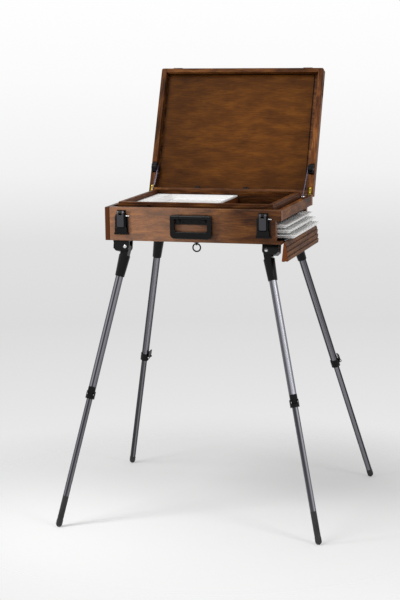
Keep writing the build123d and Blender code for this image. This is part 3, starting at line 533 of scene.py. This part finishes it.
def cross_recess(shape, width, length, depth):
    """Sink a cross into the head that lies on the local Z axis."""
    for axis in ((1, 0, 0), (0, 1, 0)):
        for offset in (-length / 2, -width / 2, width / 2, length / 2):
            bmesh.ops.bisect_plane(shape, geom=shape.verts[:] + shape.edges[:] + shape.faces[:],
                                   plane_co=Vector(axis) * offset, plane_no=axis,
                                   dist=WELD / 10)
    top = max(vert.co.z for vert in shape.verts)
    sunk = []
    for face in shape.faces:
        middle = face.calc_center_median()
        near = sorted((abs(middle.x), abs(middle.y)))
        if near[0] < width / 2 and near[1] < length / 2 and middle.z > top * RECESS_FROM:
            sunk.append(face)
    made = bmesh.ops.extrude_face_region(shape, geom=sunk)
    moved = [item for item in made["geom"] if isinstance(item, bmesh.types.BMVert)]
    bmesh.ops.translate(shape, vec=(0, 0, -depth), verts=moved)
    bmesh.ops.delete(shape, geom=sunk, context="FACES_ONLY")


def screw_heads(name, places, radius, height, material, body):
    """Raised cross-head screws, each at a point with the direction it faces."""
    shape = bmesh.new()
    for turn_index, (origin, direction) in enumerate(places):
        head = turned_head(SCREW_PROFILE, radius, height, SCREW_SUNK)
        cross_recess(head, radius * RECESS_WIDTH, radius * RECESS_LENGTH, height * RECESS_DEPTH)
        spin = FIRST_SPIN + turn_index * NEXT_SPIN
        add_head(shape, head, upright(origin, direction, spin))
    return finish_mesh(name, shape, material, body)


def rivet_heads(name, places, radius, height, material, body):
    """Domed rivet heads on a thin washer, each at a point with the direction it faces."""
    shape = bmesh.new()
    for origin, direction in places:
        head = turned_head(RIVET_PROFILE, radius, height, RIVET_SUNK)
        add_head(shape, head, upright(origin, direction))
    return finish_mesh(name, shape, material, body)


def lid_point(across, up, out):
    """A point of the open lid: across, up the lid from the hinge, and out of its thickness."""
    axis = Vector(JOINTS["lid_hinge"]["pos_m"])
    rise = Vector((0.0, sin(LID_LEAN), cos(LID_LEAN)))
    face = Vector((0.0, -cos(LID_LEAN), sin(LID_LEAN)))
    return Vector((across * MM, axis.y, axis.z)) + rise * up * MM + face * out * MM


# ---------------------------------------------------------------- settings


def colour_setting(name, hex_colour, description):
    """A colour that a user may change, given by its sRGB hex value."""
    return FloatVectorProperty(name=name, description=description, subtype="COLOR", size=3,
                               min=0.0, max=1.0, default=linear(hex_colour))


def length_setting(name, millimetres, description):
    """A length that a user may change."""
    return FloatProperty(name=name, description=description, default=millimetres * MM,
                         min=0.0, unit="LENGTH", subtype="DISTANCE")


class PochadeColours(PropertyGroup):
    """Colours of the finishes."""
    walnut_dark: colour_setting("Walnut, dark", "#2d1709", "Dark streaks of the walnut")
    walnut_middle: colour_setting("Walnut, middle", "#5f3518", "Body colour of the walnut")
    walnut_light: colour_setting("Walnut, light", "#8b5529", "Light streaks of the walnut")
    walnut_gold: colour_setting("Walnut, gold", "#b67a3c", "Lightest figure of the walnut")
    # Painted sheen: a greyed colour mixed into the left end of the front wall.
    walnut_painted_sheen: colour_setting("Walnut, haze", "#a98c7a", "Greyed oil on the walnut")
    end_grain: colour_setting("End grain", "#8a4e2a", "Stained end grain")
    plywood_dark: colour_setting("Plywood, dark", "#381e0a", "Dark bands of the panel")
    plywood_middle: colour_setting("Plywood, middle", "#5f3612", "Body colour of the panel")
    plywood_gold: colour_setting("Plywood, gold", "#83501b", "Golden figure of the panel")
    powder_coat: colour_setting("Powder coat", "#060606", "Black latches, handle and ring")
    nylon: colour_setting("Nylon", "#070708", "Black leg fittings and knobs")
    polystyrene: colour_setting("Polystyrene", "#fafaf9", "White palette and trays")
    zinc: colour_setting("Zinc", "#5d5763", "Plated stay arms")
    brass: colour_setting("Brass", "#e0bd4c", "Lid hinges and their screws")
    brass_dull: colour_setting("Dull brass", "#4a3f18", "Brass where it has dulled")
    nickel: colour_setting("Nickel", "#4c4c50", "Plated latch levers")
    rubber: colour_setting("Rubber", "#232223", "Feet")
    stainless: colour_setting("Stainless", "#cfd0d2", "Rivets and screws")
    tube: colour_setting("Tube", "#7a7a80", "Anodised leg tubes")


class PochadeSizes(PropertyGroup):
    """Sizes of the small fittings."""
    screw_radius: length_setting("Screw head radius", 2.3, "Radius of the fitting screws")
    hinge_screw_radius: length_setting("Hinge screw radius", 1.9, "Radius of the hinge screws")
    leg_rivet_radius: length_setting("Leg rivet radius", 4.4, "Radius of the leg pin's head")
    clamp_rivet_radius: length_setting("Clamp rivet radius", 2.2, "Radius of the clamp pin's head")


class PochadeStage(PropertyGroup):
    """Camera and light."""
    lens: FloatProperty(name="Lens", description="Focal length of the camera", default=97.373,
                        min=1.0, unit="CAMERA")
    key_strength: FloatProperty(name="Key light", description="Power of the key light",
                                default=53.0, min=0.0, unit="POWER")
    side_strength: FloatProperty(name="Side light", description="Power of the side light",
                                 default=20.5, min=0.0, unit="POWER")
    near_strength: FloatProperty(name="Near light", description="Power of the small near lamp",
                                 default=7.0, min=0.0, unit="POWER")
    sky_strength: FloatProperty(name="Studio light", description="Level of the soft studio light",
                                default=0.48, min=0.0)


# ---------------------------------------------------------------- operators

# Places of the small fittings, in millimetres.
LATCH_CENTRE = 181.0
LATCH_SCREWS = ((-14.8, 55.0), (14.8, 55.0), (-14.8, 38.0), (14.8, 38.0))
LATCH_FACE = -176.6
HANDLE_SCREWS = (-20.0, 0.0, 20.0)
HANDLE_SCREW_HEIGHT = 50.0
HANDLE_FACE = -177.2
HINGE_CASE_SCREW = (217, 165, 82.9)
HINGE_LID_SCREWS = ((216.6, 6.5), (217.4, 16.5))        # across, and up the lid
HINGE_LID_FACE = 0.1
LEG_PIN_END = 15.1
CLAMP_PIN_END = 7.45

SCREW_HEIGHT = 0.42     # of the radius of a fitting screw
FLUSH = 0.3 * MM        # how far the hinge screws stand up, so that the lid still closes
LEG_RIVET_HEIGHT = 2.0 * MM
CLAMP_RIVET_HEIGHT = 1.0 * MM

# How light each leg's tubes are, painted lighter or darker as reflections fall on them, and how
# light each section of a leg is.
LEG_PAINTED_LIGHT = {"front_left": 0.75, "front_right": 1.0, "back_left": 0.7, "back_right": 0.7}
SECTION_TONES = (("upper", 1.2), ("lower", 0.9))

GRAIN_ACROSS = Matrix.Identity(3).to_euler()
GRAIN_DEEP = Matrix.Rotation(pi / 2, 3, "Z").to_euler()
GRAIN_UP_LID = (Matrix.Rotation(-LID_LEAN, 3, "X") @ Matrix.Rotation(-pi / 2, 3, "Y")).to_euler()


def dress_boards(boards, colours):
    """Give each board its own walnut, so that the figure doesn't run on from board to board."""
    for place, (name, turn, *finish) in enumerate(boards):
        seed = (0.37 * place, 0.61 * place, 0.23 * place)
        dress([name], stained_walnut(f"stained_walnut_{name}", turn, seed, colours, *finish))


class POCHADE_OT_case(Operator):
    """Finish the boards of the case"""
    bl_idname = "pochade.case"
    bl_label = "Case boards"

    def execute(self, context):
        # Some lightnesses are painted shade: the left wall, the tray frame and the compartment
        # floor are painted darker, as shade falls on them.
        dress_boards((
            ("case_front_wall", GRAIN_ACROSS, 0.72, 0.2, GROOVE, FRONT_WALL_PAINTED_LIGHT),
            ("case_back_wall", GRAIN_ACROSS, 1.0),
            ("case_left_wall", GRAIN_DEEP, 0.3),
            ("case_right_upper_rail", GRAIN_DEEP, 0.75, 0.06),
            ("case_right_lower_rail", GRAIN_DEEP, 0.9),
            ("tray_frame", GRAIN_ACROSS, 0.55, 0.08, DEEP_HOLLOW),
            ("case_bottom_board", GRAIN_ACROSS, 0.8),
            ("compartment_floor", GRAIN_ACROSS, 0.3, 0.05, DEEP_HOLLOW),
            ("tray_runners", GRAIN_DEEP, 0.6),
        ), context.scene.pochade_colours)
        return {"FINISHED"}


class POCHADE_OT_lid(Operator):
    """Finish the lid's rails, panel and small lid fittings"""
    bl_idname = "pochade.lid"
    bl_label = "Lid"

    def execute(self, context):
        colours = context.scene.pochade_colours
        # The left side rail's lower lightness is painted shade, as shade falls on the left of the
        # lid.
        dress_boards((
            ("lid_side_rail_left", GRAIN_UP_LID, 0.5, 0.08),
            ("lid_side_rail_right", GRAIN_UP_LID, 0.95, 0.1),
            ("lid_hinge_rail", GRAIN_ACROSS, 0.7),
            ("lid_front_rail", GRAIN_ACROSS, 0.65, 0.08),
            ("lid_back_board", GRAIN_ACROSS, 0.8),
        ), colours)
        dress(["lid_panel"], stained_plywood("wiped_birch_plywood", colours))
        shared = shared_finishes(colours)
        dress(["lid_clips_and_keepers"], shared["black_powder_coated_steel"])
        dress(["lid_hinge_case_leaves", "lid_hinge_lid_leaves"], shared["lacquered_brass"])
        return {"FINISHED"}


class POCHADE_OT_flap(Operator):
    """Finish the drop flap and its long hinge"""
    bl_idname = "pochade.flap"
    bl_label = "Drop flap"

    def execute(self, context):
        colours = context.scene.pochade_colours
        dress_boards((("flap", GRAIN_DEEP, 0.66, 0.05),), colours)
        shared = shared_finishes(colours)
        dress(["flap_hinge_case_leaf", "flap_hinge_flap_leaf"],
              shared["black_powder_coated_steel"])
        dress(["hinge_pins"], shared["turned_stainless_steel"])
        return {"FINISHED"}


class POCHADE_OT_trays(Operator):
    """Finish the white palette pan and the sliding trays"""
    bl_idname = "pochade.trays"
    bl_label = "Palette and trays"

    def execute(self, context):
        shared = shared_finishes(context.scene.pochade_colours)
        dress(["palette_pan", "slide_tray_top", "slide_tray_middle", "slide_tray_bottom"],
              shared["vacuum_formed_white_polystyrene"])
        return {"FINISHED"}


class POCHADE_OT_hardware(Operator):
    """Finish the latches, handle, ring, stays and knobs"""
    bl_idname = "pochade.hardware"
    bl_label = "Case hardware"

    def execute(self, context):
        shared = shared_finishes(context.scene.pochade_colours)
        dress(["latch_bases", "handle_plate", "handle_bail", "ring_eye", "ring"],
              shared["black_powder_coated_steel"])
        dress(["latch_lever_left", "latch_lever_right"], shared["nickel_plated_steel"])
        dress(["stay_arm_left", "stay_arm_right"], shared["zinc_plated_steel"])
        dress(["stay_knob_left", "stay_knob_right"], shared["moulded_black_nylon"])
        dress(["stay_studs", "pivot_pins"], shared["turned_stainless_steel"])
        return {"FINISHED"}


class POCHADE_OT_fitting_screws(Operator):
    """Drive the screws of the latches and the handle"""
    bl_idname = "pochade.fitting_screws"
    bl_label = "Fitting screws"

    def execute(self, context):
        radius = context.scene.pochade_sizes.screw_radius
        shared = shared_finishes(context.scene.pochade_colours)
        out = (0.0, -1.0, 0.0)
        black = shared["black_powder_coated_steel"]
        places = []
        for side in SIDES.values():
            for offset, height in LATCH_SCREWS:
                places.append(((side * LATCH_CENTRE + offset, LATCH_FACE, height), out))
        places += [((across, HANDLE_FACE, HANDLE_SCREW_HEIGHT), out) for across in HANDLE_SCREWS]
        places = [(Vector(origin) * MM, facing) for origin, facing in places]
        screw_heads("case_screws", places, radius, radius * SCREW_HEIGHT, black, "case")
        return {"FINISHED"}


class POCHADE_OT_hinge_screws(Operator):
    """Drive the flat brass screws of the lid hinges"""
    bl_idname = "pochade.hinge_screws"
    bl_label = "Lid hinge screws"

    def execute(self, context):
        radius = context.scene.pochade_sizes.hinge_screw_radius
        brass = shared_finishes(context.scene.pochade_colours)["polished_brass"]
        up, face = (0.0, 0.0, 1.0), (0.0, -cos(LID_LEAN), sin(LID_LEAN))
        across, depth, height = HINGE_CASE_SCREW
        below = [(Vector((side * across, depth, height)) * MM, up) for side in SIDES.values()]
        above = [(lid_point(side * across, rise, HINGE_LID_FACE), face)
                 for side in SIDES.values() for across, rise in HINGE_LID_SCREWS]
        screw_heads("lid_hinge_case_screws", below, radius, FLUSH, brass, "case")
        screw_heads("lid_hinge_lid_screws", above, radius, FLUSH, brass, "lid")
        return {"FINISHED"}


class POCHADE_OT_legs(Operator):
    """Finish the brackets, sockets, tubes, clamps and feet of the legs"""
    bl_idname = "pochade.legs"
    bl_label = "Legs"

    def execute(self, context):
        colours = context.scene.pochade_colours
        shared = shared_finishes(colours)
        dress(["leg_brackets"], shared["black_powder_coated_steel"])
        for leg in LEGS:
            axis = Vector(JOINTS[f"leg_{leg}_telescope"]["axis"])
            for section, lightness in SECTION_TONES:
                # Each leg's tubes are painted lighter or darker, as reflections fall on them.
                tube = anodised_tube(f"anodised_aluminium_{section}_tube_{leg}",
                                     shade(colours.tube, lightness * LEG_PAINTED_LIGHT[leg]), axis)
                dress([f"leg_{leg}_{section}_tube"], tube)
            dress([f"leg_{leg}_fittings", f"leg_{leg}_lock_lever"], shared["moulded_black_nylon"])
            dress([f"leg_{leg}_foot"], shared["vulcanised_rubber"])
        return {"FINISHED"}


class POCHADE_OT_leg_rivets(Operator):
    """Set the bright heads of the leg pins and clamp pins"""
    bl_idname = "pochade.leg_rivets"
    bl_label = "Leg rivets"

    def execute(self, context):
        sizes = context.scene.pochade_sizes
        steel = shared_finishes(context.scene.pochade_colours)["turned_stainless_steel"]
        ends = []
        for leg in LEGS:
            fold = JOINTS[f"leg_{leg}_fold"]
            pin, axis = Vector(fold["pos_m"]), Vector(fold["axis"])
            ends += [(pin + axis * end * LEG_PIN_END * MM, axis * end) for end in (-1, 1)]
            lock = JOINTS[f"leg_{leg}_lock"]
            pin, axis = Vector(lock["pos_m"]), Vector(lock["axis"])
            places = [(pin + axis * end * CLAMP_PIN_END * MM, axis * end) for end in (-1, 1)]
            rivet_heads(f"leg_{leg}_clamp_rivets", places, sizes.clamp_rivet_radius,
                        CLAMP_RIVET_HEIGHT, steel, f"leg_{leg}")
        rivet_heads("leg_pin_heads", ends, sizes.leg_rivet_radius, LEG_RIVET_HEIGHT, steel,
                    "case")
        return {"FINISHED"}


class POCHADE_OT_stage(Operator):
    """Set up the floor, the studio light and the camera"""
    bl_idname = "pochade.stage"
    bl_label = "Stage"

    def execute(self, context):
        settings = context.scene.pochade_stage
        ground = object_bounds()[0].z
        lay_floor(ground)
        light_studio(settings)
        place_camera(settings)
        context.scene.view_settings.view_transform = "Standard"
        return {"FINISHED"}


# ---------------------------------------------------------------- stage

FLOOR_RADIUS = 5.0
FLOOR_GAP = 0.2 * MM            # between the paper and the feet
FLOOR_FADE = (0.6, 1.2)         # distances from the middle where the paper fades out
LAMPS = (                       # name, place, width of the disk
    ("key", (-1.5, -1.5, 3.0), 1.6),
    ("side", (2.4, -1.3, 1.5), 0.9),
    ("near", (-0.95, -0.8, 0.05), 0.3),
)
CAMERA_HEADING = radians(16.0528)
CAMERA_DISTANCE = 4.10883
CAMERA_HEIGHT = 0.54821
CAMERA_AIM = Vector((-0.03329, 0.0, -0.17448))
CAMERA_ROLL = radians(-0.771)
SENSOR_WIDTH = 36.0             # in millimetres, as the lens is
CLIP_START, CLIP_END = 0.1, 60.0


def lay_floor(ground):
    """A pale paper floor that fades into the backdrop with distance."""
    shape = bmesh.new()
    bmesh.ops.create_circle(shape, cap_ends=True, segments=96, radius=FLOOR_RADIUS)
    bmesh.ops.translate(shape, vec=(0, 0, ground - FLOOR_GAP), verts=shape.verts)
    mesh = bpy.data.meshes.new("floor")
    shape.to_mesh(mesh)
    shape.free()
    floor = bpy.data.objects.new("floor", mesh)
    bpy.context.scene.collection.objects.link(floor)
    floor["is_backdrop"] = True
    material, tree, shader = new_material("matt_white_paper")
    shader.inputs["Roughness"].default_value = 0.8
    place = add_node(tree, "ShaderNodeTexCoord")
    # Painted shade: the paper is painted greyer towards the back, as shade falls where it meets
    # the backdrop.
    parts = add_node(tree, "ShaderNodeSeparateXYZ", links={"Vector": place.outputs["Object"]})
    depth = add_node(tree, "ShaderNodeMapRange", {"From Min": -0.7, "From Max": 0.3},
                     {"Value": parts.outputs["Y"]})
    paper = add_node(tree, "ShaderNodeValToRGB", links={"Fac": depth.outputs["Result"]}, stops=(
        (0.0, linear("#fbfbfb")), (0.5, linear("#f3f3f3")), (0.9, linear("#e2e2e2"))))
    tree.links.new(paper.outputs["Color"], shader.inputs["Base Color"])
    reach = add_node(tree, "ShaderNodeVectorMath", {"operation": "LENGTH"},
                     {0: place.outputs["Object"]})
    fade = add_node(tree, "ShaderNodeMapRange",
                    {"interpolation_type": "SMOOTHSTEP", "From Min": FLOOR_FADE[0],
                     "From Max": FLOOR_FADE[1]},
                    {"Value": reach.outputs["Value"]})
    clear = add_node(tree, "ShaderNodeBsdfTransparent")
    blend = add_node(tree, "ShaderNodeMixShader", links={
        0: fade.outputs["Result"], 1: shader.outputs["BSDF"], 2: clear.outputs["BSDF"]})
    output = next(node for node in tree.nodes if node.type == "OUTPUT_MATERIAL")
    tree.links.new(blend.outputs["Shader"], output.inputs["Surface"])
    mesh.materials.append(material)


def light_studio(settings):
    """A pale backdrop for the camera and reflections, an even soft light and three lamps."""
    world = bpy.data.worlds.new("studio")
    bpy.context.scene.world = world
    world.use_nodes = True
    tree = world.node_tree
    tree.nodes.clear()
    place = add_node(tree, "ShaderNodeTexCoord")
    height = add_node(tree, "ShaderNodeSeparateXYZ", links={"Vector": place.outputs["Generated"]})
    # Painted shade on the backdrop: pale below, a greyer band behind the legs, white above.
    lift = add_node(tree, "ShaderNodeMapRange", {"From Min": -0.36, "From Max": 0.02},
                    {"Value": height.outputs["Z"]})
    backdrop = add_node(tree, "ShaderNodeValToRGB", links={"Fac": lift.outputs["Result"]}, stops=(
        (0.0, linear("#f6f6f6")), (0.21, linear("#e3e3e3")), (0.29, linear("#e8e8e8")),
        (0.46, linear("#dcdcdc")), (0.59, linear("#e1e1e1")), (0.70, linear("#f2f2f2")),
        (0.85, linear("#fbfbfb")), (1.0, linear("#ffffff"))))
    seen = add_node(tree, "ShaderNodeBackground", {"Strength": 1.0},
                    {"Color": backdrop.outputs["Color"]})
    light = add_node(tree, "ShaderNodeBackground",
                     {"Strength": settings.sky_strength, "Color": opaque(linear("#ffffff"))})
    path = add_node(tree, "ShaderNodeLightPath")
    first = add_node(tree, "ShaderNodeMath", {"operation": "MAXIMUM"},
                     {0: path.outputs["Is Camera Ray"], 1: path.outputs["Is Glossy Ray"]})
    direct = add_node(tree, "ShaderNodeMath", {"operation": "MAXIMUM"},
                      {0: first.outputs[0], 1: path.outputs["Is Transmission Ray"]})
    chosen = add_node(tree, "ShaderNodeMixShader", links={
        0: direct.outputs[0], 1: light.outputs["Background"], 2: seen.outputs["Background"]})
    add_node(tree, "ShaderNodeOutputWorld", links={"Surface": chosen.outputs["Shader"]})
    for name, origin, size in LAMPS:
        data = bpy.data.lights.new(name, "AREA")
        data.shape = "DISK"
        data.size = size
        data.energy = getattr(settings, f"{name}_strength")
        lamp = bpy.data.objects.new(name, data)
        lamp.location = origin
        lamp.rotation_mode = "QUATERNION"
        lamp.rotation_quaternion = (Vector((0, 0, 0)) - Vector(origin)).to_track_quat("-Z", "Y")
        # The near lamp lights the left of the front wall and stays out of reflections.
        lamp.visible_glossy = name != "near"
        bpy.context.scene.collection.objects.link(lamp)


def place_camera(settings):
    """A camera in front of the box and a little to its right, slightly above its rim."""
    eye = Vector((CAMERA_DISTANCE * sin(CAMERA_HEADING), -CAMERA_DISTANCE * cos(CAMERA_HEADING),
                  CAMERA_HEIGHT))
    forward = (CAMERA_AIM - eye).normalized()
    right = forward.cross(Vector((0, 0, 1))).normalized()
    up = right.cross(forward)
    across, along = cos(CAMERA_ROLL), sin(CAMERA_ROLL)
    right, up = right * across + up * along, up * across - right * along
    turn = Matrix((right, up, -forward)).transposed()
    data = bpy.data.cameras.new("camera")
    data.lens = settings.lens
    data.sensor_width = SENSOR_WIDTH
    data.clip_start, data.clip_end = CLIP_START, CLIP_END
    camera = bpy.data.objects.new("camera", data)
    camera.matrix_world = Matrix.Translation(eye) @ turn.to_4x4()
    bpy.context.scene.collection.objects.link(camera)
    bpy.context.scene.camera = camera


# ---------------------------------------------------------------- add-on


OPERATORS = (
    POCHADE_OT_case,
    POCHADE_OT_lid,
    POCHADE_OT_flap,
    POCHADE_OT_trays,
    POCHADE_OT_hardware,
    POCHADE_OT_fitting_screws,
    POCHADE_OT_hinge_screws,
    POCHADE_OT_legs,
    POCHADE_OT_leg_rivets,
    POCHADE_OT_stage,
)


class POCHADE_PT_sidebar(Panel):
    """The pieces and settings of the pochade box"""
    bl_idname = "POCHADE_PT_sidebar"
    bl_label = "Pochade box"
    bl_space_type = "VIEW_3D"
    bl_region_type = "UI"
    bl_category = "Pochade box"

    def draw(self, context):
        layout = self.layout
        for group in (context.scene.pochade_colours, context.scene.pochade_sizes,
                      context.scene.pochade_stage):
            column = layout.column()
            for name in group.__annotations__:
                column.prop(group, name)
        for operator in OPERATORS:
            layout.operator(operator.bl_idname)


GROUPS = {
    "pochade_colours": PochadeColours,
    "pochade_sizes": PochadeSizes,
    "pochade_stage": PochadeStage,
}


def register():
    for group in GROUPS.values():
        bpy.utils.register_class(group)
    for name, group in GROUPS.items():
        setattr(bpy.types.Scene, name, PointerProperty(type=group))
    for operator in OPERATORS:
        bpy.utils.register_class(operator)
    bpy.utils.register_class(POCHADE_PT_sidebar)


def unregister():
    bpy.utils.unregister_class(POCHADE_PT_sidebar)
    for operator in reversed(OPERATORS):
        bpy.utils.unregister_class(operator)
    for name in GROUPS:
        delattr(bpy.types.Scene, name)
    for group in reversed(list(GROUPS.values())):
        bpy.utils.unregister_class(group)


def main():
    """Register the add-on and build every piece in order."""
    register()
    for operator in OPERATORS:
        category, name = operator.bl_idname.split(".")
        getattr(getattr(bpy.ops, category), name)()


if __name__ == "__main__":
    main()
